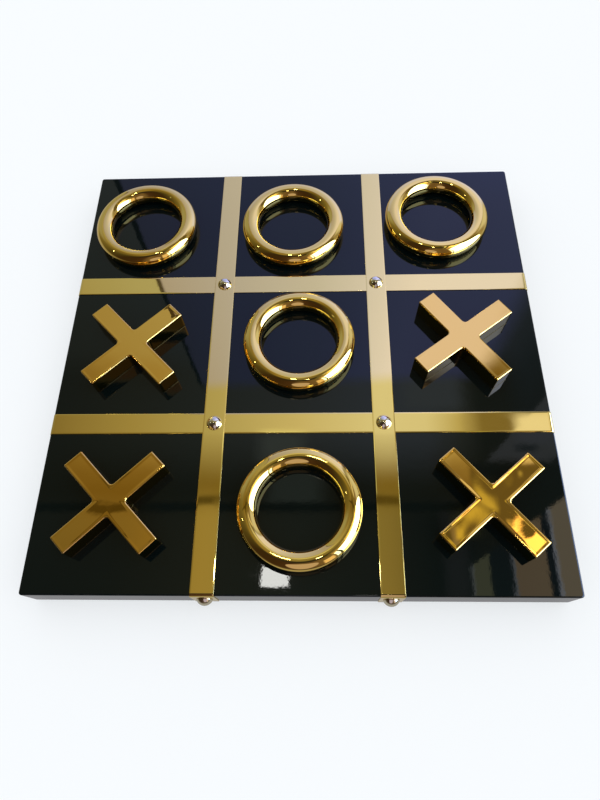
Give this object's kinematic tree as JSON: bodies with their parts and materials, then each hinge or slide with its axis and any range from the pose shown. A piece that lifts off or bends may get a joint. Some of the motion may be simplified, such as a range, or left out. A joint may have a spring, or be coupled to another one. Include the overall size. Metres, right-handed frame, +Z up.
{
  "type": "tic-tac-toe board",
  "caption": "Square lacquered slab divided into cells by nailed metal strips, with loose metal rings and crosses that lift off, for a game of noughts and crosses.",
  "frame": {"origin": "on the plane the feet stand on, under the middle of the board", "axes": "+X to the right and +Y to the back as the picture shows the board, +Z up; the front edge faces -Y"},
  "size_m": [0.3652, 0.3652, 0.0425],
  "materials": {
    "black_lacquer": "high-gloss black lacquer over a wood fibre slab",
    "strip_brass": "satin-polished pale brass sheet",
    "nail_chrome": "bright plated",
    "foot_rubber": "matt black",
    "piece_gold": "mirror-polished gold-coloured brass"
  },
  "bodies": {
    "board_body": {"board": "black_lacquer", "strip_left": "strip_brass", "strip_right": "strip_brass", "strip_back": "strip_brass", "strip_front": "strip_brass", "crossing_nails": "nail_chrome", "front_nails": "nail_chrome", "back_nails": "nail_chrome", "left_nails": "nail_chrome", "right_nails": "nail_chrome", "foot_front_left": "foot_rubber", "foot_front_right": "foot_rubber", "foot_back_left": "foot_rubber", "foot_back_right": "foot_rubber"},
    "ring_back_left": {"ring_back_left": "piece_gold"},
    "ring_back_middle": {"ring_back_middle": "piece_gold"},
    "ring_back_right": {"ring_back_right": "piece_gold"},
    "ring_centre": {"ring_centre": "piece_gold"},
    "ring_front_middle": {"ring_front_middle": "piece_gold"},
    "cross_middle_left": {"cross_middle_left": "piece_gold"},
    "cross_middle_right": {"cross_middle_right": "piece_gold"},
    "cross_front_left": {"cross_front_left": "piece_gold"},
    "cross_front_right": {"cross_front_right": "piece_gold"}
  },
  "joints": [
    {"name": "lift_ring_back_left", "type": "slide", "parent": "board_body", "child": "ring_back_left", "axis": [0, 0, 1], "range_m": [0, 0.06]},
    {"name": "lift_ring_back_middle", "type": "slide", "parent": "board_body", "child": "ring_back_middle", "axis": [0, 0, 1], "range_m": [0, 0.06]},
    {"name": "lift_ring_back_right", "type": "slide", "parent": "board_body", "child": "ring_back_right", "axis": [0, 0, 1], "range_m": [0, 0.06]},
    {"name": "lift_ring_centre", "type": "slide", "parent": "board_body", "child": "ring_centre", "axis": [0, 0, 1], "range_m": [0, 0.06]},
    {"name": "lift_ring_front_middle", "type": "slide", "parent": "board_body", "child": "ring_front_middle", "axis": [0, 0, 1], "range_m": [0, 0.06]},
    {"name": "lift_cross_middle_left", "type": "slide", "parent": "board_body", "child": "cross_middle_left", "axis": [0, 0, 1], "range_m": [0, 0.06]},
    {"name": "lift_cross_middle_right", "type": "slide", "parent": "board_body", "child": "cross_middle_right", "axis": [0, 0, 1], "range_m": [0, 0.06]},
    {"name": "lift_cross_front_left", "type": "slide", "parent": "board_body", "child": "cross_front_left", "axis": [0, 0, 1], "range_m": [0, 0.06]},
    {"name": "lift_cross_front_right", "type": "slide", "parent": "board_body", "child": "cross_front_right", "axis": [0, 0, 1], "range_m": [0, 0.06]}
  ]
}
